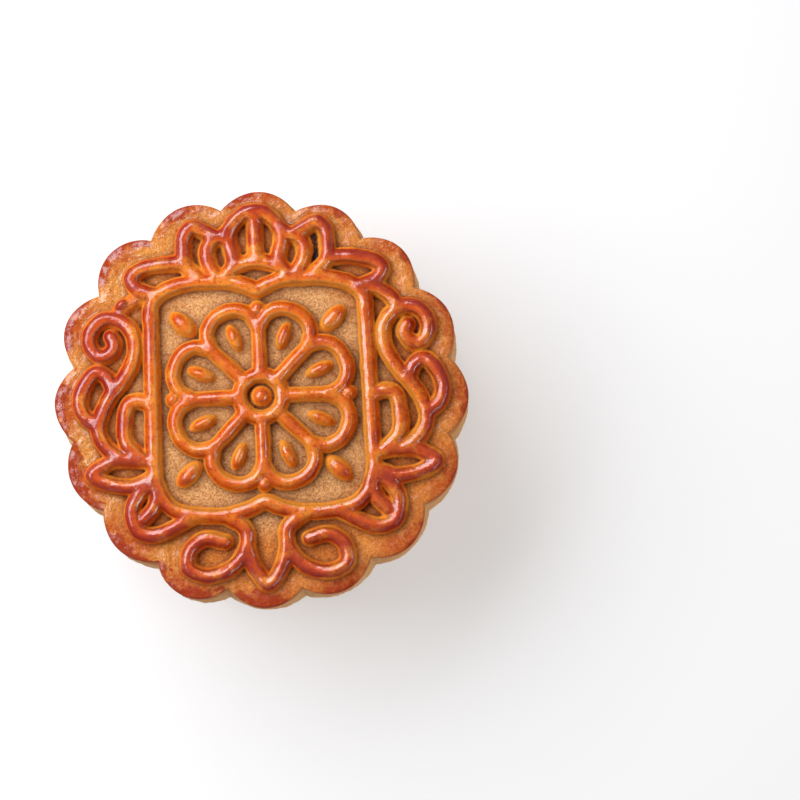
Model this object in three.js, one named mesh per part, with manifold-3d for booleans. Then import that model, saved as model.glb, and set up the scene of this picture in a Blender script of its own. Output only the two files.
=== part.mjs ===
import * as THREE from 'three';
import { mergeVertices } from 'three/addons/utils/BufferGeometryUtils.js';
import Module from 'manifold-3d';

// A baked moon cake, pressed in a carved mould: a scalloped barrel with a raised pattern on top.
// Millimetres, +Z up. The origin is the centre of the flat base, and +Y points to the lotus.

// The barrel.
const RIM_RADIUS = 37.5; // patterned face, at the crests of the lobes
const BULGE = 1.3; // how far the side swells out past the rim
const BASE_RADIUS = 31; // flat that the cake rests on
const FOOT_RADIUS = 35.2; // side just above the rounded foot
const LOBES = 16;
const NOTCH_DEPTH = 2.6; // between two lobes, at the rim
const NOTCH_DEPTH_FOOT = 1.5; // the flutes fade towards the foot
const LOBE_TURN = THREE.MathUtils.degToRad(-1.4); // lobes against the pattern
const STEPS_PER_LOBE = 6;

// The patterned face.
const GROOVE_HEIGHT = 37.8; // floor of the pattern beside the rim
const DOME = 1.2; // how much higher the floor is in the middle
const DOME_RADIUS = 34;
const RIM_RISE = 0.7; // raised lip along the lobes
const FRAME_RISE = 2; // the frame above the floor
const LINE_RISE = 1.9; // the lines round it
const RIB_RISE = 1.8; // straight ribs between those
const RIDGE_HALF_WIDTH = 1.4; // at the floor
const RIDGE_ROOT = 0.9; // how deep a pattern line is sunk into the floor
const CURVE_STEP = 2.4; // length of one facet along a curved line
const CURL_STEP = 1.7; // along a tight curl
const STRAIGHT_STEP = 6; // along a straight line

// Flower in the middle of the frame.
const FLOWER_Y = 0.7;
const PETALS = 8;
const HUB_RADIUS = 3.9;
const SPOKE_LENGTH = 12.4;
const PETAL_RADIUS = 16.4;
const SEED_RADIUS = 1.3;

const wasm = await Module();
wasm.setup();

// Height of the floor of the pattern: a shallow dome.
function floorHeight(x, y) {
  const share = Math.min(1, (x * x + y * y) / DOME_RADIUS ** 2);
  return GROOVE_HEIGHT + DOME * (1 - share);
}

// How far the outline steps in at an angle: nothing on a crest, all of it in a notch.
function notchShare(angle) {
  return 1 - Math.abs(Math.cos((LOBES / 2) * (angle - Math.PI / 2 - LOBE_TURN))) ** 0.8;
}

function toSolid(geometry) {
  geometry.deleteAttribute('normal');
  geometry.deleteAttribute('uv');
  const merged = mergeVertices(geometry, 1e-4);
  const index = merged.index.array;
  const triangles = [];
  for (let i = 0; i < index.length; i += 3) {
    const [a, b, c] = index.slice(i, i + 3);
    if (a !== b && b !== c && c !== a) triangles.push(a, b, c);
  }
  return new wasm.Manifold(new wasm.Mesh({
    numProp: 3,
    vertProperties: merged.attributes.position.array,
    triVerts: Uint32Array.from(triangles),
  }));
}

function toGeometry(solid) {
  const mesh = solid.getMesh();
  const geometry = new THREE.BufferGeometry();
  geometry.setAttribute('position', new THREE.BufferAttribute(mesh.vertProperties, 3));
  geometry.setIndex(new THREE.BufferAttribute(mesh.triVerts, 1));
  geometry.computeVertexNormals();
  return geometry;
}

// Lays a flat piece of pattern on the dome.
function drape(geometry) {
  const position = geometry.attributes.position;
  for (let i = 0; i < position.count; i += 1) {
    const lift = floorHeight(position.getX(i), position.getY(i));
    position.setZ(i, position.getZ(i) + lift);
  }
  return geometry;
}

// The barrel: a turned profile whose outline is then pressed in between the lobes.
function barrel() {
  const widest = RIM_RADIUS + BULGE;
  const rimTop = GROOVE_HEIGHT + RIM_RISE;
  const side = new THREE.SplineCurve([
    new THREE.Vector2(BASE_RADIUS, 0),
    new THREE.Vector2(BASE_RADIUS + 2.6, 1),
    new THREE.Vector2(FOOT_RADIUS, 4.5),
    new THREE.Vector2(widest - 0.8, 15),
    new THREE.Vector2(widest, 25),
    new THREE.Vector2(RIM_RADIUS + 0.4, 33.8),
    new THREE.Vector2(RIM_RADIUS - 0.4, 36.8),
    new THREE.Vector2(RIM_RADIUS - 1.6, rimTop - 0.1),
    new THREE.Vector2(RIM_RADIUS - 2.4, rimTop - 0.05),
    new THREE.Vector2(DOME_RADIUS, GROOVE_HEIGHT),
  ]);
  const profile = [new THREE.Vector2(0, 0), ...side.getPoints(12), new THREE.Vector2(0, GROOVE_HEIGHT)];
  const geometry = new THREE.LatheGeometry(profile, LOBES * STEPS_PER_LOBE);
  geometry.rotateX(Math.PI / 2);
  geometry.rotateZ(LOBE_TURN);

  const position = geometry.attributes.position;
  const point = new THREE.Vector3();
  for (let i = 0; i < position.count; i += 1) {
    point.fromBufferAttribute(position, i);
    const radius = Math.hypot(point.x, point.y);
    if (radius < 1) continue;
    const upWall = THREE.MathUtils.smoothstep(point.z, 0, GROOVE_HEIGHT * 0.8);
    const depth = THREE.MathUtils.lerp(NOTCH_DEPTH_FOOT, NOTCH_DEPTH, upWall);
    const reach = THREE.MathUtils.smoothstep(radius, BASE_RADIUS - 4, RIM_RADIUS - 1.5);
    const pressed = radius - depth * reach * notchShare(Math.atan2(point.y, point.x));
    position.setXY(i, (point.x * pressed) / radius, (point.y * pressed) / radius);
  }
  return toSolid(geometry);
}

// The shallow dome that carries the pattern.
function dome() {
  const top = [DOME_RADIUS, 30, 22, 12, 0].map((r) => new THREE.Vector2(r, floorHeight(r, 0)));
  const edge = new THREE.Vector2(DOME_RADIUS + 0.4, GROOVE_HEIGHT - 0.2);
  const geometry = new THREE.LatheGeometry([new THREE.Vector2(0, edge.y), edge, ...top], 32);
  geometry.rotateX(Math.PI / 2);
  return toSolid(geometry);
}

// Section of a pattern line. Its height runs along -X, which the sweep turns up.
function ridgeSection(rise) {
  const half = [[-RIDGE_ROOT, 1.2], [rise, 0.5]];
  const points = half.map(([height, side]) => new THREE.Vector2(-height, side * RIDGE_HALF_WIDTH));
  const mirrored = points.map((p) => new THREE.Vector2(p.x, -p.y)).reverse();
  return new THREE.Shape([...points, ...mirrored]);
}

// A pattern line swept along a smooth curve through the points.
function line(points, rise, step = CURVE_STEP) {
  const path = new THREE.CatmullRomCurve3(points.map(([x, y]) => new THREE.Vector3(x, y, 0)));
  const geometry = new THREE.ExtrudeGeometry(ridgeSection(rise), {
    steps: Math.max(1, Math.round(path.getLength() / step)),
    extrudePath: path,
  });
  return toSolid(drape(geometry));
}

// A low mound, such as a bud, a seed or the round end of a line.
function mound(x, y, length, width, rise, angle = 0) {
  const geometry = new THREE.SphereGeometry(1, 8, 4);
  geometry.rotateX(Math.PI / 2);
  geometry.scale(length, width, rise);
  geometry.rotateZ(angle);
  geometry.translate(x, y, 0);
  return toSolid(drape(geometry));
}

// The flower: a ring round a seed, spokes, and an arch over each petal with a vein under it.
function flower() {
  const polar = (radius, angle) => [radius * Math.cos(angle), FLOWER_Y + radius * Math.sin(angle)];
  const section = ridgeSection(LINE_RISE).getPoints().map((p) => new THREE.Vector2(HUB_RADIUS + p.y, -p.x));
  const ring = new THREE.LatheGeometry([...section, section[0]], 28);
  ring.rotateX(Math.PI / 2);
  ring.translate(0, FLOWER_Y, 0);
  const solids = [toSolid(drape(ring)), mound(0, FLOWER_Y, 1.9, 1.9, 1.5)];

  const half = Math.PI / PETALS;
  for (let i = 0; i < PETALS; i += 1) {
    const angle = 2 * half * i;
    const middle = angle + half;
    const arch = [[SPOKE_LENGTH, -1], [15, -0.72], [PETAL_RADIUS, -0.3], [PETAL_RADIUS, 0.3],
      [15, 0.72], [SPOKE_LENGTH, 1]];
    const corner = i % 2;
    solids.push(
      line([polar(HUB_RADIUS, angle), polar(SPOKE_LENGTH + 0.5, angle)], RIB_RISE, STRAIGHT_STEP),
      line(arch.map(([radius, share]) => polar(radius, middle + share * half)), LINE_RISE),
      mound(...polar(11.4, middle), 2.5, 0.8, 1.3, middle),
      mound(...polar(corner ? 19 : 16, angle), corner ? 2.9 : SEED_RADIUS, SEED_RADIUS, 1.5, angle),
    );
  }
  return solids;
}

// The frame, with a cusp in the middle of its top and bottom.
const frameTop = [[0, 20], [1.3, 20.6], [4.2, 21.6], [8.5, 21.9], [13.6, 21.6], [17.6, 20.1], [19.3, 18],
  [19.5, 15.5]];
const frameBottom = [[0, -18.4], [2.6, -19.4], [6.5, -20.4], [12.5, -20.3], [16.6, -19.1],
  [18.9, -16.6], [19.95, -13.5]];
const frameSide = [[19.5, 16.5], [19.95, -14.5]];

// Lines that run across the middle, from there to their right end. Their left half mirrors it.
const acrossLines = {
  lotusOutline: [[0, 34.2], [1.6, 34], [3.6, 32.5], [4.9, 30.7], [6.8, 29.8], [8.9, 30.8],
    [11.3, 31.8], [12.8, 30.3], [13.1, 27.5], [12.7, 24.8], [10.8, 23]],
  lotusBase: [[0, 25.3], [4, 24.3]],
  bottomTip: [[0, -33.1], [2.7, -29.7], [3.6, -26.5]],
};

// Lines of the right half that have a mirrored twin on the left.
const pairedLines = {
  innerPetal: [[4.8, 30.8], [4.8, 28.8], [4.1, 26.2], [4.2, 24.5], [5.6, 22.8]],
  outerPetal: [[7.6, 29.9], [8.8, 27.6], [8.5, 24.9], [7.4, 23]],
  topLeaf: [[13.2, 25.4], [17, 25.4], [21, 24.6], [22.7, 23.1], [21.9, 21.3], [18.6, 19.8]],
  link: [[19.4, 20], [22, 19.3], [24, 17.8], [25.4, 15.6]],
  outerLeaf: [[26.6, 3], [28.2, 5.6], [29.8, 6.2], [31.9, 4], [32.9, 0.8], [32.1, -1.6], [30, -3.3]],
  innerLeaf: [[19.9, 0], [22.4, 0.8], [24.1, 0.2], [25, -3.4], [24.7, -6.8], [22.2, -9.6]],
  lowLeaf: [[20.1, -10.4], [24, -9.8], [27.8, -10.1], [31, -12.3], [27.8, -14.1], [24, -14.6],
    [20.3, -13.2]],
  hook: [[19.9, -14.2], [22.5, -15.8], [24.2, -19], [23.2, -22.6], [20.4, -23.6], [16.8, -22.4],
    [13.6, -20.6]],
  hookTongue: [[19.3, -15.6], [20.3, -18.6], [22.2, -20.6]],
};

// Lines with a tight curl at their first point, in pairs too.
const curls = {
  spiral: [[26.9, 12.6], [26.3, 11.2], [27.4, 9.5], [29.4, 9.4], [30.7, 11.6], [30.1, 14.2],
    [27.6, 15.9], [24.6, 15.1], [22.7, 12.6], [22.7, 9], [24.7, 5], [27.2, 2], [29.2, -1.6],
    [29.7, -4.6], [28.6, -7.2], [26.2, -9.3]],
  scroll: [[7.7, -25.3], [11, -24.6], [14, -26.5], [14.3, -29.8], [11.2, -31.3], [6.9, -30.2],
    [4, -27], [3.7, -23.4], [7.2, -20.6]],
};
const roundEnds = [curls.spiral[0], curls.scroll[0], pairedLines.hookTongue.at(-1)];

function mirror(points) {
  return points.map(([x, y]) => [-x, y]);
}

function across(rightHalf) {
  return [...mirror(rightHalf.slice(1)).reverse(), ...rightHalf];
}

function pattern() {
  const frame = [frameTop, frameBottom].map((half) => line(across(half), FRAME_RISE));
  const sides = [frameSide, mirror(frameSide)].map((points) => line(points, FRAME_RISE, STRAIGHT_STEP));
  const inPairs = (group) => [...Object.values(group), ...Object.values(group).map(mirror)];
  const curved = [...Object.values(acrossLines).map(across), ...inPairs(pairedLines)];
  const lines = [
    ...curved.map((points) => line(points, LINE_RISE)),
    ...inPairs(curls).map((points) => line(points, LINE_RISE, CURL_STEP)),
  ];
  const rib = line([[0, 34.2], [0, 25.2]], RIB_RISE, STRAIGHT_STEP);
  const solids = [...frame, ...sides, ...lines, rib, ...flower()];
  for (const [x, y] of [...roundEnds, ...mirror(roundEnds)]) {
    solids.push(mound(x, y, RIDGE_HALF_WIDTH, RIDGE_HALF_WIDTH, LINE_RISE));
  }
  return solids;
}

const cake = pattern().reduce((whole, solid) => whole.add(solid), barrel().add(dome()));

const crust = new THREE.MeshStandardMaterial({ color: 0xc2672a, roughness: 0.42, metalness: 0 });
const mooncake = new THREE.Mesh(toGeometry(cake), crust);
mooncake.name = 'mooncake';

const part = new THREE.Group();
part.add(mooncake);

export default part;
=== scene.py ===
import bpy
import bmesh
import math
import numpy as np
from mathutils import Vector, Matrix, noise


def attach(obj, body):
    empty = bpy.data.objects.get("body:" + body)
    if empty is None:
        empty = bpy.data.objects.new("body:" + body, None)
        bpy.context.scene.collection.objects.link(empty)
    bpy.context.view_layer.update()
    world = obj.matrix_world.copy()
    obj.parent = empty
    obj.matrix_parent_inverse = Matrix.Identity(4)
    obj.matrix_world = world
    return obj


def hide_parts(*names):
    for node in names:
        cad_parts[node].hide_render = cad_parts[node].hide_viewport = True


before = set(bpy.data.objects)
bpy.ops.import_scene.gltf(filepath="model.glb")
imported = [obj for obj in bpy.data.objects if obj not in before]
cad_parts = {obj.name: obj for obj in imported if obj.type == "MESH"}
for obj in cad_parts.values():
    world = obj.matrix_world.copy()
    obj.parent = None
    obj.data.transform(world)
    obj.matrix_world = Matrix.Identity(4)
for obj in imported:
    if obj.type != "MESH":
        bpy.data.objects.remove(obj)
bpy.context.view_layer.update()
mm = 0.001

# everything below is in mm, looking down on the face with the lotus at +y

cameraValues = {
    "faceHeight": 39.3,        # plane of the pattern
    "viewWidth": 144.2,        # what the view spans at that plane
    "distance": 520.0,
    "aimRight": 25.1,          # the cake sits left of the middle
    "aimUp": -0.05,
    "roll": 2.5,               # degrees, as are the leans
    "leanRight": 1.6,
    "leanDown": 2.4,
    "sensorWidth": 36,
    "clip": (0.01, 20),        # metres
}


def makeCamera(values):
    data = bpy.data.cameras.new("camera")
    camera = bpy.data.objects.new("camera", data)
    bpy.context.scene.collection.objects.link(camera)
    roll = math.radians(values["roll"])
    right = Vector((math.cos(roll), -math.sin(roll), 0))
    up = Vector((math.sin(roll), math.cos(roll), 0))
    target = right * values["aimRight"] + up * values["aimUp"] + Vector((0, 0, values["faceHeight"]))
    lean = right * math.tan(math.radians(values["leanRight"]))
    lean -= up * math.tan(math.radians(values["leanDown"]))
    back = (Vector((0, 0, 1)) + lean).normalized()
    side = up.cross(back).normalized()
    top = back.cross(side)
    spin = Matrix((side, top, back)).transposed().to_4x4()
    camera.matrix_world = Matrix.Translation((target + back * values["distance"]) * mm) @ spin
    data.sensor_width = values["sensorWidth"]
    data.lens = values["sensorWidth"] * values["distance"] / values["viewWidth"]
    data.clip_start, data.clip_end = values["clip"]
    bpy.context.scene.camera = camera


makeCamera(cameraValues)
print("camera made")


# the pressed pattern: right halves of the lines that cross the middle
frameTop = [(0, 20), (1.3, 20.6), (4.2, 21.6), (8.5, 21.9), (13.6, 21.6), (17.6, 20.1), (19.3, 18),
            (19.5, 15.5)]
frameBottom = [(0, -18.4), (2.6, -19.4), (6.5, -20.4), (12.5, -20.3), (16.6, -19.1), (18.9, -16.6),
               (19.95, -13.5)]

acrossLines = {
    "frameTop": frameTop,
    "frameBottom": frameBottom,
    "lotusOutline": [(0, 34.2), (1.6, 34), (3.6, 32.5), (4.9, 30.7), (6.8, 29.8), (8.9, 30.8), (11.3, 31.8),
                     (12.8, 30.3), (13.1, 27.5), (12.7, 24.8), (10.8, 23)],
    "lotusBase": [(0, 25.3), (4, 24.3)],
    "bottomTip": [(0, -33.1), (2.7, -29.7), (3.6, -26.5)],
}

# lines that come in mirrored pairs
pairedLines = {
    "frameSide": [frameTop[-1], (19.75, 1), frameBottom[-1]],
    "innerPetal": [(4.8, 30.8), (4.8, 28.8), (4.1, 26.2), (4.2, 24.5), (5.6, 22.8)],
    "outerPetal": [(7.6, 29.9), (8.8, 27.6), (8.5, 24.9), (7.4, 23)],
    "topLeaf": [(13.2, 25.4), (17, 25.4), (21, 24.6), (22.7, 23.1), (21.9, 21.3), (18.6, 19.8)],
    "spiral": [(26.9, 12.6), (26.3, 11.2), (27.4, 9.5), (29.4, 9.4), (30.7, 11.6), (30.1, 14.2),
               (27.6, 15.9), (24.6, 15.1), (22.7, 12.6), (22.7, 9), (24.7, 5), (27.2, 2), (29.2, -1.6),
               (29.7, -4.6), (28.6, -7.2), (26.2, -9.3)],
    "outerLeaf": [(26.6, 3), (28.2, 5.6), (29.8, 6.2), (31.9, 4), (32.9, 0.8), (32.1, -1.6), (30, -3.3)],
    "innerLeaf": [(19.9, 0), (22.4, 0.8), (24.1, 0.2), (25, -3.4), (24.7, -6.8), (22.2, -9.6)],
    "lowLeaf": [(20.1, -10.4), (24, -9.8), (27.8, -10.1), (31, -12.3), (27.8, -14.1), (24, -14.6),
                (20.3, -13.2)],
    "hook": [(19.9, -14.2), (22.5, -15.8), (24.2, -19), (23.2, -22.6), (20.4, -23.6), (16.8, -22.4),
             (13.6, -20.6)],
    "hookTongue": [(19.3, -15.6), (20.3, -18.6), (22.2, -20.6)],
    "scroll": [(7.7, -25.3), (11, -24.6), (14, -26.5), (14.3, -29.8), (11.2, -31.3), (6.9, -30.2),
               (4, -27), (3.7, -23.4), (7.2, -20.6)],
}

# single lines: the two upper corners of the frame differ
lotusMiddle = [(0, 34.2), (0, 25.3)]
rightLink = [(19.4, 20), (22, 19.3), (24, 17.8), (25.4, 15.6)]
leftLink = [(-19.4, 20), (-21.6, 19.4), (-23.5, 18.4), (-25, 17.2)]
leftLinkTip = (-24.7, 18.5, 1.6, 0.8, 0.6)  # x, y, half length, half width, angle

lineValues = {
    "rise": 2.5,               # of a line above the floor
    "lowShare": 0.62,          # of that rise, for the low left link
    "halfWidth": 1.6,
    "reach": 1.7,              # half widths that a line's foot stays within
    "crestFlat": 2.2,          # section of a line: how flat its top is
    "crestRound": 0.75,        # and how round its shoulders are
    "footFade": (0.6, 1.3),    # half widths over which its foot runs out
    "footShare": 0.12,
    "melt": 5.0,               # how sharply crossing lines keep apart
    "pileUp": 0.3,             # how much they heap up where they cross
    "sampleStep": 0.1,
    "waver": 0.08,             # a line is a little wider and narrower
    "sag": 0.05,               # and a little higher and lower
}

# generic flower in the window
flowerValues = {
    "middleY": 0.7,
    "petals": 8,
    "halfWidth": 1.45,
    "hubRadius": 3.9,
    "hubSteps": 24,
    "hubBud": 1.9,
    "spokeLength": 12.4,
    "spokeOverlap": 0.5,
    "petalSide": (15, 0.72),   # radius, share of a petal's half angle
    "petalTop": (16.4, 0.3),
    "seed": (11.6, 2.7, 1.2),  # radius, half length, half width
    "knob": (16, 1.4, 1.4),    # where two petals meet
    "cornerSeed": (19.2, 3.1, 1.7),
}

# section of the seeds and knobs, as that of a line
budValues = {
    "crestFlat": 1.1,
    "crestRound": 0.72,
    "crestShare": 0.84,
    "footFade": (0.8, 1.5),
    "footShare": 0.1,
}

# unevenness of the dough: waves for each mm, place in the noise, depth
doughNoise = {
    "lineWidth": (0.24, 3.1, 2),
    "lineHeight": (0.15, 9.7, 2),
    "cloud": (0.16, 41.0, 3),
    "patch": (0.5, 17.0, 3),
    "swell": (0.11, 21.0, 2),
    "crumple": (1.1, 5.0, 2),
    "dent": (0.3, 63.0, 3),
}


def smoothPath(points, step):
    # centripetal Catmull-Rom through the points, sampled evenly
    p = [np.array(q, float) for q in points]
    p = [2 * p[0] - p[1]] + p + [2 * p[-1] - p[-2]]
    out = []
    for a, b, c, d in zip(p, p[1:], p[2:], p[3:]):
        ta = 0.0
        tb = ta + np.linalg.norm(b - a) ** 0.5
        tc = tb + np.linalg.norm(c - b) ** 0.5
        td = tc + np.linalg.norm(d - c) ** 0.5
        count = max(2, int(np.linalg.norm(c - b) / step) + 1)
        t = np.linspace(tb, tc, count, endpoint=False)[:, None]
        ab = (tb - t) / (tb - ta) * a + (t - ta) / (tb - ta) * b
        bc = (tc - t) / (tc - tb) * b + (t - tb) / (tc - tb) * c
        cd = (td - t) / (td - tc) * c + (t - tc) / (td - tc) * d
        abc = (tc - t) / (tc - ta) * ab + (t - ta) / (tc - ta) * bc
        bcd = (td - t) / (td - tb) * bc + (t - tb) / (td - tb) * cd
        out.append((tc - t) / (tc - tb) * abc + (t - tb) / (tc - tb) * bcd)
    out.append(p[-2][None, :])
    return np.concatenate(out)


def mirrored(points):
    return [(-x, y) for x, y in points]


def polar(radius, angle):
    return (radius * math.cos(angle), flowerValues["middleY"] + radius * math.sin(angle))


def borderLines():
    lines = []
    for half in acrossLines.values():
        lines.append(mirrored(half[1:])[::-1] + half)
    for points in pairedLines.values():
        lines += [points, mirrored(points)]
    return lines + [lotusMiddle, rightLink]


def flowerLines(values):
    # the hub's ring, then a spoke and an arch for each petal
    half = math.pi / values["petals"]
    hub, reach, steps = values["hubRadius"], values["spokeLength"], values["hubSteps"]
    rightArch = [values["petalTop"], values["petalSide"], (reach, 1)]
    arch = [(radius, -share) for radius, share in reversed(rightArch)] + rightArch
    lines = [[polar(hub, 2 * math.pi * k / steps) for k in range(steps + 1)]]
    for i in range(values["petals"]):
        angle = 2 * half * i
        lines.append([polar(hub, angle), polar(reach + values["spokeOverlap"], angle)])
        lines.append([polar(radius, angle + half + share * half) for radius, share in arch])
    return lines


def flowerBuds(values):
    # each is x, y, half length, half width, angle
    half = math.pi / values["petals"]
    buds = [(0, values["middleY"], values["hubBud"], values["hubBud"], 0)]
    for i in range(values["petals"]):
        angle = 2 * half * i
        between = values["cornerSeed"] if i % 2 else values["knob"]
        for (radius, length, width), turn in ((values["seed"], angle + half), (between, angle)):
            buds.append((*polar(radius, turn), length, width, turn))
    return buds


def smoothstep(a, b, x):
    t = np.clip((x - a) / (b - a), 0, 1)
    return t * t * (3 - 2 * t)


def noiseAt(name, x, y, z):
    scale, start, depth = doughNoise[name]
    falloff, finer = 0.6, 2.0
    points = np.stack([x * scale + start, y * scale, z * scale], 1)
    return np.array([noise.fractal(p, falloff, finer, depth) for p in points.tolist()])


def lineProfile(gap, halfWidth):
    # rounded crest over a soft foot
    values = lineValues
    t = np.clip(gap / halfWidth, 0, 1)
    crest = (1 - t ** values["crestFlat"]) ** values["crestRound"]
    footFrom, footTo = values["footFade"]
    foot = 1 - smoothstep(halfWidth * footFrom, halfWidth * footTo, gap)
    return (1 - values["footShare"]) * crest + values["footShare"] * foot


def budProfile(x, y, bud):
    # a mound, a little lower than a line
    values = budValues
    budX, budY, length, width, turn = bud
    dx, dy = x - budX, y - budY
    a = (dx * math.cos(turn) + dy * math.sin(turn)) / length
    b = (-dx * math.sin(turn) + dy * math.cos(turn)) / width
    crest = np.clip(1 - (a * a + b * b) ** values["crestFlat"], 0, 1) ** values["crestRound"]
    foot = 1 - smoothstep(*values["footFade"], np.hypot(a, b))
    return values["crestShare"] * crest + values["footShare"] * foot


def gapTo(path, x, y):
    # distance to the nearest sample, a few samples at a time to spare memory
    atOnce = 40
    gap = np.full(len(x), np.inf)
    for part in np.array_split(path, len(path) // atOnce + 1):
        away = np.hypot(x[:, None] - part[None, :, 0], y[:, None] - part[None, :, 1])
        gap = np.minimum(gap, away.min(1))
    return gap


def patternHeight(x, y):
    # every line's profile, melted into its neighbours
    values = lineValues
    flat = np.zeros(len(x))
    waver = 1 + values["waver"] * noiseAt("lineWidth", x, y, flat)
    reach = values["halfWidth"] * values["reach"]
    total = np.zeros(len(x))
    lines = [(line, values["halfWidth"], 1) for line in borderLines()]
    lines += [(line, flowerValues["halfWidth"], 1) for line in flowerLines(flowerValues)]
    lines.append((leftLink, values["halfWidth"], values["lowShare"]))
    for line, halfWidth, tall in lines:
        path = smoothPath(line, values["sampleStep"])
        low, high = path.min(0) - reach, path.max(0) + reach
        near = np.nonzero((x > low[0]) & (x < high[0]) & (y > low[1]) & (y < high[1]))[0]
        gap = gapTo(path, x[near], y[near]) * waver[near]
        total[near] += (tall * lineProfile(gap, halfWidth)) ** values["melt"]
    for bud in flowerBuds(flowerValues) + [leftLinkTip]:
        total += budProfile(x, y, bud) ** values["melt"]
    height = total ** (1 / values["melt"])
    height = np.where(height > 1, 1 + values["pileUp"] * (height - 1), height)
    return height * (1 + values["sag"] * noiseAt("lineHeight", x, y, flat))


cakeValues = {
    "rimRadius": 37.6,
    "lobes": 16,
    "lobeTurn": -1.4,          # degrees against the pattern
    "drift": 1.7,              # degrees more at the upper right
    "driftPlace": 40,
    "driftWidth": 32,
    # how far each lobe stands out, from the top one leftwards
    "lobeReach": [0.45, 0.6, 1.0, 0.75, 0.2, 0.2, 0, 0.6, 0.05, 0, 0.1, 0, -0.1, 0, -0.1, 0],
    # how deep the notch after each lobe is
    "notchScale": [0.97, 1.02, 1.14, 1.26, 0.95, 0.91, 1.08, 1.17, 1, 1.05, 0.95, 1.1, 1, 1.13, 1.1, 1.05],
    "lobeBlend": (0.25, 0.75),  # where one lobe's reach gives way to the next
    "reachFade": (-12, 18),    # heights over which that reach comes in
    "notchSharp": 0.8,
    "notchDepth": 2.9,
    "notchDepthBelly": 1.8,
    "notchDepthFoot": 1.5,
    "footToBelly": (0, 9),     # heights between which the depth changes
    "bellyToRim": (26, 37),
    "footRadius": 31,          # inside it the notches run out
    "sideShift": (-0.35, -0.45),  # the body leans a little under the face
    "sideShiftFade": (37, 25),
    "grooveHeight": 37.35,     # floor beside the rim
    "dome": 0.9,
    "domeRadius": 32.0,
    "lip": 0.55,
    "lipPlace": 1.6,           # from the outline
    "lipWidth": 2.6,
    "roll": 0.1,               # the face bends down towards the outline
    "rollWidth": 2.0,
    "edgeHeight": 37.2,        # the side begins below it
    "shoulderHeight": 30,
    "floorWave": 0.14,
    "wallWave": 0.25,
    "wallDent": 0.16,
    "crumple": 0.12,
    "crumpleRadius": (24, 34),  # the face crumples more towards the rim
    "crumpleShare": (0.35, 1),
    "lineCalm": 0.8,           # and less on the lines
    "faceFade": (33, 37),      # heights over which the face's waves come in
    "wallFade": (36, 32),      # and those of the side
    "footFade": (0.2, 4),
    "squareHalf": 17.5,        # grid in the middle of the face
    "squareSoft": 0.12,        # its corners are drawn in
    "squareCells": 144,
    "faceRings": 80,
    "shoulderStep": 0.33,
    "wallStep": 1.25,
}

# outer wall of a lobe's crest from the face to the base: radius, height
shoulderPoints = [(37, 37.82), (37.22, 37.74), (37.38, 37.56), (37.48, 37.25), (37.54, 36.7),
                  (37.57, 35.8), (37.58, 34.6)]
wallPoints = [(37.58, 34.6), (37.6, 31.5), (37.62, 27.5), (37.62, 23), (37.5, 17.5), (37.2, 12),
              (36.6, 7), (35.8, 3.6), (34.7, 1.5), (33.1, 0.4), (31.2, 0)]
basePoints = [(28, 0.08), (24, 0.18), (19, 0.26), (13, 0.3), (7, 0.32)]  # slightly hollow


def lobePlace(angle):
    # 0 at the middle of the top lobe, one more for each lobe leftwards
    values = cakeValues
    away = np.angle(np.exp(1j * (angle - math.radians(values["driftPlace"]))))
    turn = values["lobeTurn"] + values["drift"] * np.exp(-(away / math.radians(values["driftWidth"])) ** 2)
    return (angle - math.pi / 2 - np.radians(turn)) / (2 * math.pi) * values["lobes"]


def notchShare(angle):
    place = lobePlace(angle)
    scale = np.array(cakeValues["notchScale"])[np.floor(place).astype(int) % cakeValues["lobes"]]
    return scale * (1 - np.abs(np.cos(math.pi * place)) ** cakeValues["notchSharp"])


def notchDepthAt(radius, height):
    # deepest at the rim, and running out under the base
    values = cakeValues
    foot, belly, rim = values["notchDepthFoot"], values["notchDepthBelly"], values["notchDepth"]
    depth = foot + (belly - foot) * smoothstep(*values["footToBelly"], height)
    depth += (rim - belly) * smoothstep(*values["bellyToRim"], height)
    return depth * smoothstep(0, values["footRadius"], radius) ** 2


def lobeReach(angle):
    place = lobePlace(angle) % cakeValues["lobes"]
    lobe = np.floor(place).astype(int)
    reach = np.array(cakeValues["lobeReach"])
    here, following = reach[lobe % len(reach)], reach[(lobe + 1) % len(reach)]
    return here + (following - here) * smoothstep(*cakeValues["lobeBlend"], place - lobe)


def makeBlank():
    # a square grid whose border is pulled out ring by ring, down the side and under the base
    values = cakeValues
    bm = bmesh.new()
    cells = values["squareCells"]
    bmesh.ops.create_grid(bm, x_segments=cells, y_segments=cells, size=1)
    u = bm.verts.layers.float.new("u")
    v = bm.verts.layers.float.new("v")
    ring = bm.verts.layers.int.new("ring")
    for vert in bm.verts:
        vert[u], vert[v] = vert.co.x, vert.co.y
    edges = [e for e in bm.edges if e.is_boundary]
    shoulder = smoothPath(shoulderPoints, values["shoulderStep"])
    wall = np.concatenate([shoulder[:-1], smoothPath(wallPoints, values["wallStep"])])
    total = values["faceRings"] + len(wall) + len(basePoints)
    for k in range(1, total):
        geom = bmesh.ops.extrude_edge_only(bm, edges=edges)["geom"]
        for g in geom:
            if isinstance(g, bmesh.types.BMVert):
                g[ring] = k
        edges = [g for g in geom if isinstance(g, bmesh.types.BMEdge) and g.is_boundary]
    bmesh.ops.holes_fill(bm, edges=edges, sides=0)
    mesh = bpy.data.meshes.new("mooncake_crust")
    bm.to_mesh(mesh)
    bm.free()
    return mesh, wall


def readLayer(mesh, name, kind):
    data = np.zeros(len(mesh.vertices), kind)
    mesh.attributes[name].data.foreach_get("value", data)
    return data


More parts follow.
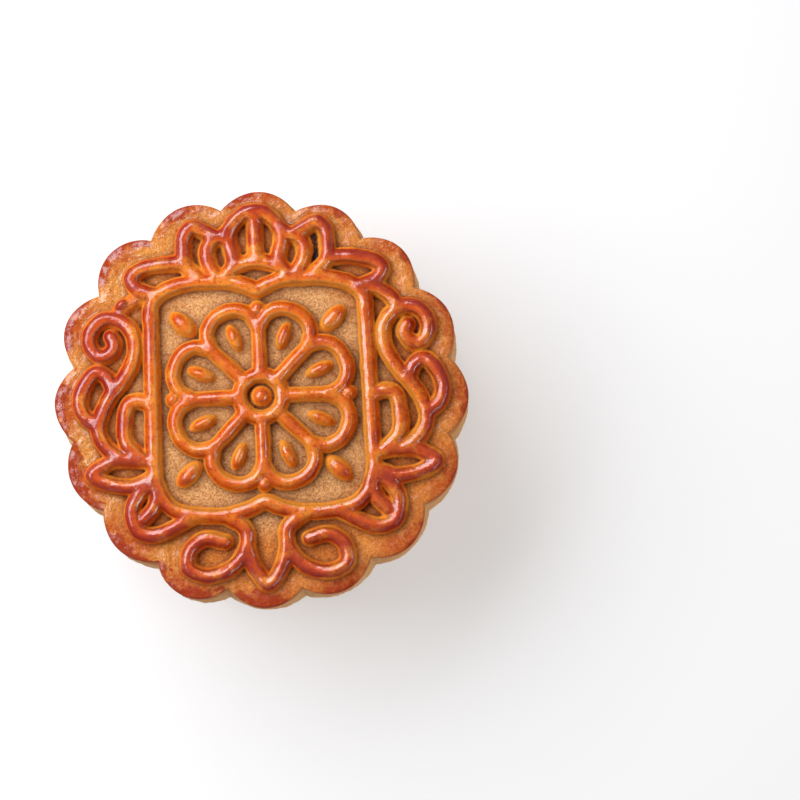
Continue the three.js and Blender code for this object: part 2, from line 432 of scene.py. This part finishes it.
def ringAngle(u, v):
    # direction of each border vertex of the grid, spread evenly round the quarter
    big = np.maximum(np.abs(u), np.abs(v))
    big[big == 0] = 1
    side = np.where(np.abs(u) >= np.abs(v), np.where(u > 0, 0, 2), np.where(v > 0, 1, 3))
    along = np.select([side == 0, side == 1, side == 2, side == 3], [v, -u, -v, u]) / big
    return (side + along / 2) * math.pi / 2


def layRings(mesh, wall):
    # each vertex of the blank goes to its place on the plain cake
    values = cakeValues
    u, v = readLayer(mesh, "u", np.float32), readLayer(mesh, "v", np.float32)
    ring = readLayer(mesh, "ring", np.int32)
    x, y, z = np.zeros(len(u)), np.zeros(len(u)), np.zeros(len(u))
    angle = ringAngle(u, v)
    share, reach = notchShare(angle), lobeReach(angle)

    # the face: the grid, then rings that turn from its square into the scalloped outline
    inner = ring == 0
    soft = 1 - values["squareSoft"] * (u * u * v * v)
    squareX, squareY = u * values["squareHalf"] * soft, v * values["squareHalf"] * soft
    x[inner], y[inner] = squareX[inner], squareY[inner]
    rings = values["faceRings"]
    face = (ring > 0) & (ring <= rings)
    edge = wall[0][0] + reach - values["notchDepth"] * share
    t = ring / rings
    x[face] = (squareX + (edge * np.cos(angle) - squareX) * t)[face]
    y[face] = (squareY + (edge * np.sin(angle) - squareY) * t)[face]
    onFace = inner | face
    faceAngle = np.arctan2(y, x)
    faceOutline = values["rimRadius"] + lobeReach(faceAngle) - values["notchDepth"] * notchShare(faceAngle)
    r = np.hypot(x, y)
    edgeGap = np.where(onFace, faceOutline - r, 0)
    floor = values["grooveHeight"] + values["dome"] * (1 - np.clip(r / values["domeRadius"], 0, 1) ** 2)
    lip = values["lip"] * np.exp(-((edgeGap - values["lipPlace"]) / values["lipWidth"]) ** 2)
    roll = values["roll"] * np.clip(1 - edgeGap / values["rollWidth"], 0, 1) ** 2
    z[onFace] = (floor + lip - roll)[onFace]

    # the side and the base: below the edge the gap is negative
    outline = values["rimRadius"] + reach - values["notchDepth"] * share
    for k, (radius, height) in enumerate(list(wall[1:]) + basePoints, rings + 1):
        here = ring == k
        r = radius - notchDepthAt(radius, height) * share[here]
        r += reach[here] * smoothstep(*values["reachFade"], height)
        shiftX, shiftY = np.array(values["sideShift"]) * smoothstep(*values["sideShiftFade"], height)
        x[here] = r * np.cos(angle[here]) + shiftX
        y[here] = r * np.sin(angle[here]) + shiftY
        z[here] = height
        onShoulder = height > values["shoulderHeight"]
        below = min(0, height - values["edgeHeight"])
        edgeGap[here] = np.maximum(0, outline[here] - r) * onShoulder + below
    return x, y, z, share, edgeGap


def blurred(x, y, value, width):
    # value spread over its surroundings on a fine raster, read back at the points
    cell, span, leastCover = 0.3, 42.0, 0.05
    n = int(2 * span / cell)
    gx = np.clip(((x + span) / cell).astype(int), 0, n - 1)
    gy = np.clip(((y + span) / cell).astype(int), 0, n - 1)
    total, weight = np.zeros((n, n)), np.zeros((n, n))
    np.add.at(total, (gx, gy), value)
    np.add.at(weight, (gx, gy), 1.0)
    k = np.fft.fftfreq(n, cell)
    spread = np.exp(-2 * (math.pi * width) ** 2 * (k[:, None] ** 2 + k[None, :] ** 2))
    mean = np.where(weight > 0, total / np.maximum(weight, 1), 0)
    smooth = np.fft.ifft2(np.fft.fft2(mean) * spread).real
    cover = np.fft.ifft2(np.fft.fft2((weight > 0).astype(float)) * spread).real
    return (smooth / np.maximum(cover, leastCover))[gx, gy]


def evened(mesh, value, rounds):
    # each vertex goes halfway to its neighbours' mean
    edges = np.zeros(len(mesh.edges) * 2, np.int32)
    mesh.edges.foreach_get("vertices", edges)
    a, b = edges[0::2], edges[1::2]
    count = np.bincount(a, minlength=len(value)) + np.bincount(b, minlength=len(value))
    for _ in range(rounds):
        total = np.bincount(a, value[b], len(value)) + np.bincount(b, value[a], len(value))
        value = value + 0.5 * (total / count - value)
    return value


bakeValues = {
    # browning of the lines
    "redRadius": (19.0, 34.0),     # where they begin to redden and are red
    "redWander": 5,                # that border wanders with the clouds
    "redLean": 3,                  # and lies further in on the browned side
    "redSide": (-0.85, -0.35),     # direction of the stronger browning
    # browned band along the outline
    "rimBand": (0.9, 4.6),
    "rimWaver": 1.4,
    "rimLean": 0.5,
    "rimNotch": 1.05,              # how fast it weakens towards the notches
    "rimLeast": 0.25,
    # dark red next to the edge
    "deepStart": 0.82,
    "deepWidth": 2.0,
    "deepBelow": 2.4,              # it fades this much faster below the edge
    "deepLean": 0.7,
    "deepCloud": 1.1,
    "deepPatch": 0.9,
    "deepNotch": 1.2,
    "deepBand": (-0.2, 0.8),
    # shade between close lines, and along the foot of each
    "hollowWidth": 1.1,
    "hollowStrength": 1.6,
    "footWidth": 0.5,
    "footStrength": 2,
    # egg wash in the groove, along the rim and on the lines
    "washSide": (-0.75, 0.6),
    "washBand": (-0.3, 0.7),
    "washWander": 0.6,
    "washRadius": (21, 29),
    "washHollow": (0.3, 0.7),      # none between close lines
    "washRim": (1.5, 5),
    "washRimBand": (-0.6, 0.3),
    "washRimShare": (0.45, 0.9),
    "washEdge": (0.1, 0.9),
    "washEdgeShare": (0.25, 1),
    "lineWashBand": (-0.5, 0.5),
    "lineWashShare": (0.5, 0.95),
    "lineWashLean": 0.2,
    # a crack where the dark filling shows: x, y, half width, half length
    "crack": (10.9, 26.4, 1.1, 3.2),
    "crackRagged": 0.5,
    "crackFade": (0.75, 1.1),
    "crackHeight": (0.1, 0.35),    # it ends at the lines
}


def paint(mesh, name, values):
    layer = mesh.attributes.new(name, "FLOAT", "POINT")
    layer.data.foreach_set("value", np.asarray(values, np.float32))


def towards(x, y, direction):
    # about 1 at the rim on that side, -1 at the other
    return (x * direction[0] + y * direction[1]) / cakeValues["rimRadius"]


def ramp(x, band, least, most):
    # from least to most while x crosses the band
    return least + (most - least) * smoothstep(*band, x)


def paintBake(mesh, x, y, z, height, share, edgeGap):
    values = bakeValues
    r = np.hypot(x, y)
    cloud, patchy = noiseAt("cloud", x, y, z), noiseAt("patch", x, y, z)
    leaning, washed = towards(x, y, values["redSide"]), towards(x, y, values["washSide"])

    paint(mesh, "ridge", height)
    paint(mesh, "edgeGap", edgeGap)

    redPlace = r + values["redWander"] * cloud + values["redLean"] * leaning
    paint(mesh, "reddened", smoothstep(*values["redRadius"], redPlace))

    crest = np.clip(values["rimNotch"] - values["rimNotch"] * share, 0, 1)
    ragged = values["rimWaver"] * (patchy + cloud) - values["rimLean"] * leaning
    band = 1 - smoothstep(*values["rimBand"], edgeGap + ragged)
    paint(mesh, "rimBake", (values["rimLeast"] + (1 - values["rimLeast"]) * crest) * band)

    fromEdge = np.maximum(edgeGap, -values["deepBelow"] * edgeGap) / values["deepWidth"]
    deep = values["deepStart"] - fromEdge + values["deepLean"] * leaning
    deep += values["deepCloud"] * cloud + values["deepPatch"] * patchy - values["deepNotch"] * share
    paint(mesh, "rimDeep", smoothstep(*values["deepBand"], deep))

    # painted shade: how dark the floor is painted between close lines and along the foot of each line
    top = edgeGap > 0
    around, close = np.zeros(len(x)), np.zeros(len(x))
    around[top] = blurred(x[top], y[top], height[top], values["hollowWidth"])
    close[top] = blurred(x[top], y[top], height[top], values["footWidth"])
    hollow = np.clip(around * values["hollowStrength"] * (1 - height), 0, 1)
    paint(mesh, "hollow", hollow)
    paint(mesh, "foot", np.clip(close * values["footStrength"] * (1 - height), 0, 1))

    brushed = smoothstep(*values["washBand"], washed + values["washWander"] * cloud)
    brushed *= smoothstep(*values["washRadius"], r) * (1 - smoothstep(*values["washHollow"], hollow))
    rimWash = 1 - smoothstep(*values["washRim"], edgeGap + patchy)
    rimWash *= ramp(washed, values["washRimBand"], *values["washRimShare"])
    wash = np.maximum(brushed, rimWash) * ramp(edgeGap, values["washEdge"], *values["washEdgeShare"])
    paint(mesh, "wash", wash)
    uneven = cloud + patchy - values["lineWashLean"] * washed
    paint(mesh, "lineWash", ramp(uneven, values["lineWashBand"], *values["lineWashShare"]))

    crackX, crackY, halfWidth, halfLength = values["crack"]
    away = np.hypot((x - crackX) / halfWidth, (y - crackY) / halfLength) + values["crackRagged"] * patchy
    crack = (1 - smoothstep(*values["crackFade"], away)) * (1 - smoothstep(*values["crackHeight"], height))
    paint(mesh, "crack", crack)


def unevened(x, y, z, height):
    # dents and waves of real dough, and the lines raised above it
    values = cakeValues
    r = np.hypot(x, y)
    swell, crumple = noiseAt("swell", x, y, z), noiseAt("crumple", x, y, z)
    push = swell * values["wallWave"] + noiseAt("dent", x, y, z) * values["wallDent"]
    push += crumple * values["crumple"]
    push *= smoothstep(*values["wallFade"], z) * smoothstep(*values["footFade"], z)
    scale = 1 + push / np.maximum(r, 1)
    bare = 1 - values["lineCalm"] * height
    bare *= ramp(r, values["crumpleRadius"], *values["crumpleShare"])
    lift = swell * values["floorWave"] + crumple * values["crumple"] * bare
    z = z + smoothstep(*values["faceFade"], z) * lift + height * lineValues["rise"]
    return x * scale, y * scale, z


def makeCrust():
    mesh, wall = makeBlank()
    print("blank made", len(mesh.vertices))
    x, y, z, share, edgeGap = layRings(mesh, wall)
    top = edgeGap > 0
    height = np.zeros(len(x))
    height[top] = patternHeight(x[top], y[top])
    height = evened(mesh, height, 1)
    paintBake(mesh, x, y, z, height, share, edgeGap)
    x, y, z = unevened(x, y, z, height)
    coords = np.stack([x, y, z], 1) * mm
    mesh.vertices.foreach_set("co", coords.astype(np.float32).ravel())
    print("pattern pressed")

    for name in ("u", "v", "ring"):
        mesh.attributes.remove(mesh.attributes[name])
    bm = bmesh.new()
    bm.from_mesh(mesh)
    bmesh.ops.recalc_face_normals(bm, faces=bm.faces[:])
    for f in bm.faces:
        f.smooth = True
    bm.to_mesh(mesh)
    bm.free()
    mesh.update()
    # 1 where a flank faces away from the middle, less within the innermost radius
    innermost = 4
    normals = np.zeros(len(mesh.vertices) * 3, np.float32)
    mesh.vertex_normals.foreach_get("vector", normals)
    outward = (normals[0::3] * x + normals[1::3] * y) / np.maximum(np.hypot(x, y), innermost)
    paint(mesh, "outward", evened(mesh, outward, 2))
    crust = bpy.data.objects.new("mooncake_crust", mesh)
    bpy.context.scene.collection.objects.link(crust)
    return crust


crust = makeCrust()
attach(crust, "root")
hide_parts("mooncake")
print("crust made", sum(len(p.vertices) - 2 for p in crust.data.polygons), "triangles")


crustColours = {
    "windowDark": (182, 112, 54),
    "windowLight": (248, 190, 120),
    # painted glints: bright specks on the window floor
    "windowPaintedGlint": (252, 224, 180),
    "grooveDark": (192, 97, 36),
    "grooveLight": (247, 160, 72),
    "washGold": (246, 172, 68),
    # painted glints in the washed groove
    "washPaintedGlint": (255, 226, 172),
    # colour of the painted shade between close lines and along their feet
    "paintedShade": (84, 38, 26),
    "crackDark": (34, 18, 24),
    "crackFleck": (120, 98, 96),
    "glazeFoot": (234, 148, 46),
    "glaze": (222, 104, 6),
    "glazeRed": (202, 74, 6),
    "glazeLine": (134, 22, 12),
    "rim": (184, 72, 16),
    "rimDeep": (160, 46, 14),
    "wallPale": (248, 190, 126),
    "wallGold": (236, 156, 78),
    "wallPore": (172, 104, 48),
    "wallTop": (206, 118, 48),
    "footBrown": (160, 86, 34),
}

# grain of the crust: waves for each mm, detail, roughness, distortion
crustTextures = {
    "speck": (2.8, 4, 0.75, 0),
    "spark": (3.4, 2, 0.6, 0),
    "patch": (0.45, 3, 0.55, 0),
    "streak": (1.3, 3, 0.6, 0.8),
    "blotch": (0.24, 3, 0.6, 0),
    "cloudy": (0.16, 4, 0.62, 0),
    "bent": (0.5, 3, 0.6, 0),
    "lumps": (0.9, 3, 0.55, 0),
}

# most pairs say where a thing begins and where it is full, a third number says how much of it there is
crustFinish = {
    # floor between the lines
    "floorMix": (0.65, 0.35),      # of specks and streaks
    "floorGrain": (0.36, 0.64),
    # painted glints on the window floor
    "windowPaintedGlints": (0.56, 0.68, 0.5),
    "washGold": 0.5,
    # painted glints where the groove is washed
    "washPaintedGlints": (0.52, 0.64),
    "washPaintedGlintShare": 0.4,
    "windowEdge": (21, 27),        # radius where the pale window gives way to the groove
    "pocketShade": 0.8,
    "footShade": 0.35,
    "crackFlecks": (0.5, 0.62, 0.5),
    # browned rim
    "rimSpecks": (0.56, 0.36, 0.5),
    "rimStreaks": (0.5, 0.66, 0.35),
    "rimShare": 0.9,
    "rimRagged": 1.6,
    "rimDeep": (0.15, 0.8, 0.85),
    # lines
    "lineWander": 0.35,            # how far the bands on a line wander
    "redWander": 2.6,
    "flankSpecks": (0.52, 0.36, 0.35),
    "flankRed": (0.35, 1.0, 0.6),
    "flankBand": (0.04, 0.26),     # share of a line's rise where its golden flank,
    "glazeBand": (0.5, 0.85),      # its glaze
    "crestBand": (0.85, 1.1),      # and its browned crest come in
    "glazeBlotches": (0.5, 0.34, 0.6),
    "glazeStreaks": (0.5, 0.66, 0.5),
    "glazeSpecks": (0.5, 0.34, 0.35),
    "outwardGlaze": 0.4,           # glaze reaches further down where a flank faces outward
    "leastBrown": 0.18,            # of a crest, and more of it where reddened:
    "crestBrown": 0.57,            # on top
    "edgeBrown": 0.56,             # and along both edges
    "edgeRise": (0.52, 0.68),      # shares of the rise where the brown edge begins
    "edgeFall": (0.98, 0.78),      # and ends
    # side
    "goldWander": 8.0,
    "goldBand": (22, 4),           # heights
    "goldPatches": (0.34, 0.68, 0.55),
    "footWander": 3.0,
    "footBand": (4.5, 1.2),
    "pores": (0.42, 0.26, 0.4),
    "hairline": (0.012, 0.003),    # how near its texture is to the middle where a hair crack opens
    "hairlinePlaces": (0.5, 0.58),
    "hairlineShare": 0.3,
    "dropWander": (5.0, 0.8),      # slow and fast waver of the two bands below
    "wallTopBand": (-5.0, -0.8, 0.75),   # browned side below the edge
    "sideBand": (0.2, -1.8),             # where the side's colours take over from the face's
    # gloss
    "lineGloss": (0.5, 0.78),
    "poolWander": 0.5,
    "poolBand": (0.42, 0.58),
    "poolGloss": 0.7,
    "outwardDull": (0.42, 0.68, 0.85),
    "roughness": 0.7,
    "specular": 0.15,
    "coatRoughness": 0.04,
    "coatIor": 1.75,
    # relief: how strong each texture is, and less of it on glaze
    "glazeSmooth": 0.9,
    "streakRelief": 1.2,
    "wallRelief": 1.1,
    "hairlineRelief": 0.5,
    "grainDepth": 0.3 * mm,
    "calmBand": (5.0, 2.5),        # the coat is calm near the edge and on glaze
    "calmShare": 0.6,
    "coatSpecks": (0.12, 0.09),    # strength of its specks, and how much of that goes on glaze
    "coatDepth": 0.35 * mm,
}


def colour(name):
    # the named colour as the shader's linear red, green and blue
    def linear(c):
        c /= 255
        return c / 12.92 if c <= 0.04045 else ((c + 0.055) / 1.055) ** 2.4
    return (*[linear(c) for c in crustColours[name]], 1)


class NodeTree:
    # short ways to add and join shader nodes
    def __init__(self, material):
        self.nodes, self.links = material.node_tree.nodes, material.node_tree.links
        scaled = self.nodes.new("ShaderNodeMapping")
        scaled.inputs["Scale"].default_value = (1 / mm, 1 / mm, 1 / mm)
        self.put(scaled.inputs["Vector"], self.nodes.new("ShaderNodeTexCoord").outputs["Object"])
        self.place = scaled.outputs["Vector"]

    def put(self, socket, value):
        # value is another node's output, the name of a colour or a number
        if isinstance(value, bpy.types.NodeSocket):
            self.links.new(value, socket)
        else:
            socket.default_value = colour(value) if isinstance(value, str) else value

    def attribute(self, name):
        node = self.nodes.new("ShaderNodeAttribute")
        node.attribute_name = name
        return node.outputs["Fac"]

    def texture(self, name):
        node = self.nodes.new("ShaderNodeTexNoise")
        self.put(node.inputs["Vector"], self.place)
        for socket, value in zip(("Scale", "Detail", "Roughness", "Distortion"), crustTextures[name]):
            node.inputs[socket].default_value = value
        return node.outputs["Fac"]

    def math(self, operation, a, b=0.0, clamp=False):
        node = self.nodes.new("ShaderNodeMath")
        node.operation = operation
        node.use_clamp = clamp
        self.put(node.inputs[0], a)
        self.put(node.inputs[1], b)
        return node.outputs[0]

    def add(self, a, b):
        return self.math("ADD", a, b)

    def times(self, a, b):
        return self.math("MULTIPLY", a, b)

    def less(self, a, b):
        return self.math("SUBTRACT", a, b)

    def step(self, value, low, high):
        node = self.nodes.new("ShaderNodeMapRange")
        node.interpolation_type = "SMOOTHSTEP"
        self.put(node.inputs["Value"], value)
        self.put(node.inputs["From Min"], low)
        self.put(node.inputs["From Max"], high)
        return node.outputs["Result"]

    def fade(self, value, low, high, most):
        return self.times(self.step(value, low, high), most)

    def swing(self, texture, width):
        # the texture as a push to both sides of nought
        return self.times(self.less(texture, 0.5), width)

    def mix(self, share, a, b):
        node = self.nodes.new("ShaderNodeMix")
        node.data_type = "RGBA"
        self.put(node.inputs["Factor"], share)
        self.put(node.inputs[6], a)  # the two colour sockets
        self.put(node.inputs[7], b)
        return node.outputs[2]

    def bump(self, height, depth):
        node = self.nodes.new("ShaderNodeBump")
        node.inputs["Distance"].default_value = depth
        self.put(node.inputs["Height"], height)
        return node.outputs["Normal"]


def makeCrustMaterial(finish):
    material = bpy.data.materials.new("eggWashedCrust")
    material.use_nodes = True
    shader = material.node_tree.nodes["Principled BSDF"]
    tree = NodeTree(material)
    split = tree.nodes.new("ShaderNodeSeparateXYZ")
    tree.put(split.inputs["Vector"], tree.place)
    x, y, z = split.outputs
    radius = tree.math("SQRT", tree.add(tree.times(x, x), tree.times(y, y)))
    edgeGap, wash, outward = tree.attribute("edgeGap"), tree.attribute("wash"), tree.attribute("outward")
    speck, spark, patch = tree.texture("speck"), tree.texture("spark"), tree.texture("patch")
    streak, blotch, cloudy = tree.texture("streak"), tree.texture("blotch"), tree.texture("cloudy")

    # grainy floor between the lines
    ofSpeck, ofStreak = finish["floorMix"]
    rubble = tree.add(tree.times(speck, ofSpeck), tree.times(streak, ofStreak))
    grain = tree.step(rubble, *finish["floorGrain"])
    window = tree.mix(grain, "windowDark", "windowLight")
    # painted glints: bright specks scattered over the window floor
    window = tree.mix(tree.fade(spark, *finish["windowPaintedGlints"]), window, "windowPaintedGlint")
    groove = tree.mix(grain, "grooveDark", "grooveLight")
    groove = tree.mix(tree.times(wash, finish["washGold"]), groove, "washGold")
    # painted glints: bright specks where the groove is washed
    washed = tree.times(wash, finish["washPaintedGlintShare"])
    groove = tree.mix(tree.fade(spark, *finish["washPaintedGlints"], washed), groove, "washPaintedGlint")
    base = tree.mix(tree.step(radius, *finish["windowEdge"]), window, groove)
    # painted shade: the floor is darkened towards the shade colour between close lines and along each
    # line's foot
    paintedShade = tree.times(tree.attribute("hollow"), finish["pocketShade"])
    foot = tree.times(tree.attribute("foot"), finish["footShade"])
    base = tree.mix(tree.math("ADD", paintedShade, foot, clamp=True), base, "paintedShade")
    filling = tree.mix(tree.fade(spark, *finish["crackFlecks"]), "crackDark", "crackFleck")
    base = tree.mix(tree.attribute("crack"), base, filling)

    # browned rim
    rim = tree.mix(tree.fade(speck, *finish["rimSpecks"]), "rim", "rimDeep")
    rim = tree.mix(tree.fade(streak, *finish["rimStreaks"]), rim, "grooveLight")
    base = tree.mix(tree.times(tree.attribute("rimBake"), finish["rimShare"]), base, rim)
    ragged = tree.add(tree.attribute("rimDeep"), tree.swing(streak, finish["rimRagged"]))
    base = tree.mix(tree.fade(ragged, *finish["rimDeep"]), base, "rimDeep")

    # the lines: golden flanks, orange glaze above, red-brown along the crests
    wavy = tree.add(tree.attribute("ridge"), tree.swing(patch, finish["lineWander"]))
    blotched = tree.swing(blotch, finish["redWander"])
    redness = tree.math("ADD", tree.attribute("reddened"), blotched, clamp=True)
    flank = tree.mix(tree.fade(speck, *finish["flankSpecks"]), "glazeFoot", "glaze")
    flank = tree.mix(tree.fade(redness, *finish["flankRed"]), flank, "glazeRed")
    base = tree.mix(tree.step(wavy, *finish["flankBand"]), base, flank)
    glaze = tree.mix(redness, "glaze", "glazeRed")
    glaze = tree.mix(tree.fade(blotch, *finish["glazeBlotches"]), glaze, "glazeFoot")
    glaze = tree.mix(tree.fade(streak, *finish["glazeStreaks"]), glaze, "glazeLine")
    glaze = tree.mix(tree.fade(speck, *finish["glazeSpecks"]), glaze, "glazeLine")
    spread = tree.add(wavy, tree.times(outward, finish["outwardGlaze"]))
    glazed = tree.step(spread, *finish["glazeBand"])
    base = tree.mix(glazed, base, glaze)
    brown = tree.add(finish["leastBrown"], tree.times(redness, finish["crestBrown"]))
    base = tree.mix(tree.fade(spread, *finish["crestBand"], brown), base, "glazeLine")
    brown = tree.add(finish["leastBrown"], tree.times(redness, finish["edgeBrown"]))
    crestEdge = tree.times(tree.step(wavy, *finish["edgeRise"]), tree.step(wavy, *finish["edgeFall"]))
    base = tree.mix(tree.times(crestEdge, brown), base, "glazeLine")

    # pale side, golden in patches and near the base, with pores and hair cracks
    gold = tree.step(tree.add(z, tree.times(patch, finish["goldWander"])), *finish["goldBand"])
    gold = tree.add(gold, tree.fade(cloudy, *finish["goldPatches"]))
    wall = tree.mix(tree.math("MINIMUM", gold, 1.0), "wallPale", "wallGold")
    footPlace = tree.add(z, tree.times(patch, finish["footWander"]))
    wall = tree.mix(tree.step(footPlace, *finish["footBand"]), wall, "footBrown")
    wall = tree.mix(tree.fade(speck, *finish["pores"]), wall, "wallPore")
    hairline = tree.step(tree.math("ABSOLUTE", tree.less(tree.texture("bent"), 0.5)), *finish["hairline"])
    hairline = tree.times(hairline, tree.step(cloudy, *finish["hairlinePlaces"]))
    wall = tree.mix(tree.times(hairline, finish["hairlineShare"]), wall, "wallPore")
    slow, fast = finish["dropWander"]
    drop = tree.add(edgeGap, tree.add(tree.swing(cloudy, slow), tree.times(patch, fast)))
    wall = tree.mix(tree.fade(drop, *finish["wallTopBand"]), wall, "wallTop")
    side = tree.step(drop, *finish["sideBand"])
    base = tree.mix(side, base, wall)
    tree.put(shader.inputs["Base Color"], base)

    # egg wash over dry dough
    gloss = tree.times(tree.step(wavy, *finish["lineGloss"]), tree.attribute("lineWash"))
    pooled = tree.step(tree.add(patch, tree.swing(streak, finish["poolWander"])), *finish["poolBand"])
    gloss = tree.math("MAXIMUM", gloss, tree.times(tree.times(wash, finish["poolGloss"]), pooled))
    gloss = tree.times(gloss, tree.less(1.0, tree.fade(outward, *finish["outwardDull"])))
    gloss = tree.times(gloss, tree.less(1.0, side))
    tree.put(shader.inputs["Coat Weight"], gloss)
    shader.inputs["Coat Roughness"].default_value = finish["coatRoughness"]
    shader.inputs["Coat IOR"].default_value = finish["coatIor"]
    shader.inputs["Roughness"].default_value = finish["roughness"]
    shader.inputs["Specular IOR Level"].default_value = finish["specular"]

    # grain under the coat, and slow wrinkles in it
    lumps = tree.texture("lumps")
    dry = tree.less(1.0, tree.times(glazed, finish["glazeSmooth"]))
    grainy = tree.times(tree.add(speck, tree.times(streak, finish["streakRelief"])), dry)
    crazed = tree.times(hairline, finish["hairlineRelief"])
    porous = tree.less(tree.times(tree.add(speck, lumps), finish["wallRelief"]), crazed)
    relief = tree.add(grainy, tree.times(side, porous))
    tree.put(shader.inputs["Normal"], tree.bump(relief, finish["grainDepth"]))
    calm = tree.math("MAXIMUM", glazed, tree.step(edgeGap, *finish["calmBand"]))
    wrinkles = tree.times(lumps, tree.less(1.0, tree.times(calm, finish["calmShare"])))
    most, lost = finish["coatSpecks"]
    wrinkles = tree.add(wrinkles, tree.times(speck, tree.less(most, tree.times(glazed, lost))))
    tree.put(shader.inputs["Coat Normal"], tree.bump(wrinkles, finish["coatDepth"]))
    return material


crust.data.materials.append(makeCrustMaterial(crustFinish))
print("crust material made")


floorValues = {
    "halfWidth": 2,                # metres
    "colour": (0.5, 0.49, 0.47, 1),
    "roughness": 0.9,
    "glow": 0.45,                  # keeps it pale
}


def makeFloor(values):
    bm = bmesh.new()
    bmesh.ops.create_grid(bm, x_segments=1, y_segments=1, size=values["halfWidth"])
    mesh = bpy.data.meshes.new("floor")
    bm.to_mesh(mesh)
    bm.free()
    paper = bpy.data.materials.new("paleFloor")
    paper.use_nodes = True
    shader = paper.node_tree.nodes["Principled BSDF"]
    shader.inputs["Base Color"].default_value = values["colour"]
    shader.inputs["Roughness"].default_value = values["roughness"]
    shader.inputs["Emission Color"].default_value = (1, 1, 1, 1)
    shader.inputs["Emission Strength"].default_value = values["glow"]
    mesh.materials.append(paper)
    floor = bpy.data.objects.new("floor", mesh)
    bpy.context.scene.collection.objects.link(floor)
    return floor


makeFloor(floorValues)

# in metres from the cake, and watts
lightValues = {
    "window": {
        "place": (-0.155, 0.115, 0.27),
        "size": (0.44, 0.225),
        "power": 1.84,
        "tint": (0.95, 0.98, 1.08),
    },
    "sideStrip": {
        "place": (0.44, -0.22, 0.18),
        "size": (0.6, 0.08),
        "power": 0.85,
        "tint": (1, 1, 1),
    },
}
lightAim = Vector((0, 0, 0.03))
skyValues = {"colour": (1, 0.98, 0.96, 1), "strength": 0.21}


def makeLight(name, values):
    data = bpy.data.lights.new(name, "AREA")
    data.shape = "RECTANGLE"
    data.size, data.size_y = values["size"]
    data.energy = values["power"]
    data.color = values["tint"]
    light = bpy.data.objects.new(name, data)
    light.location = values["place"]
    light.rotation_euler = (lightAim - Vector(values["place"])).to_track_quat("-Z", "Y").to_euler()
    bpy.context.scene.collection.objects.link(light)


def makeSky(values):
    world = bpy.data.worlds.new("studio")
    bpy.context.scene.world = world
    world.use_nodes = True
    background = world.node_tree.nodes["Background"]
    background.inputs["Color"].default_value = values["colour"]
    background.inputs["Strength"].default_value = values["strength"]


for name, values in lightValues.items():
    makeLight(name, values)
makeSky(skyValues)
bpy.context.scene.view_settings.view_transform = "Standard"
print("floor and lights made")
